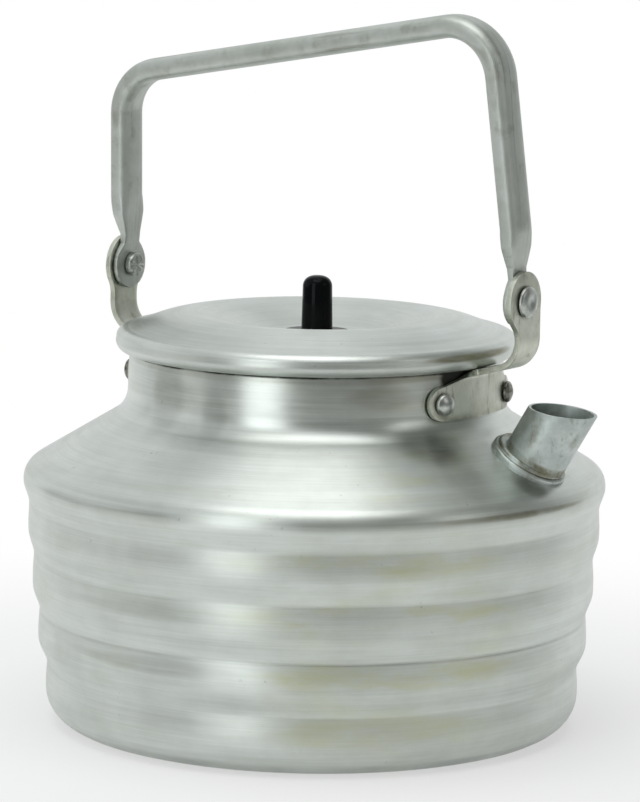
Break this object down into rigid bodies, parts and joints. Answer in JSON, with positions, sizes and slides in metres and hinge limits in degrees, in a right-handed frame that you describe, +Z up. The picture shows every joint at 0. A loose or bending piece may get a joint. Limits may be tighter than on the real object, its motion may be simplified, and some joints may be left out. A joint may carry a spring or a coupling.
{
  "type": "camping kettle",
  "caption": "Low round camping kettle with a stepped wall, a sloping shoulder, a short leaning spout, a lift-off domed lid with a knob and a swinging bail.",
  "frame": {"origin": "centre of the flat base, on the surface that the kettle stands on", "axes": "+Z up through the lid's knob, +X from the back ear to the front ear above the spout, +Y to the left of the spout"},
  "size_m": [0.1755, 0.1696, 0.209],
  "materials": {
    "spun_aluminium": "spun, satin, stained by use",
    "sheet_aluminium": "satin sheet with fine scratches",
    "rivet_aluminium": "formed heads, half polished",
    "steel": "plated",
    "dark_washer": "darkened sheet",
    "knob_plastic": "black, moulded, glossy"
  },
  "bodies": {
    "kettle": {"pot_body": "spun_aluminium", "spout_tube": "sheet_aluminium", "ear_front": "sheet_aluminium", "ear_back": "sheet_aluminium", "strap_rivet_front_left": "rivet_aluminium", "strap_rivet_front_right": "rivet_aluminium", "strap_rivet_back_left": "rivet_aluminium", "strap_rivet_back_right": "rivet_aluminium", "pivot_rivet_front": "rivet_aluminium", "pivot_rivet_back": "rivet_aluminium"},
    "lid": {"lid": "spun_aluminium", "knob": "knob_plastic", "knob_washer": "dark_washer", "lid_washer": "steel", "knob_screw": "steel"},
    "bail": {"bail": "sheet_aluminium"}
  },
  "joints": [
    {"name": "bail_swing", "type": "hinge", "parent": "kettle", "child": "bail", "pos_m": [0, 0, 0.1294], "axis": [1, 0, 0], "range_deg": [-118.5, 114.6]},
    {"name": "lid_lift", "type": "slide", "parent": "kettle", "child": "lid", "axis": [0, 0, 1], "range_m": [0, 0.035]}
  ]
}
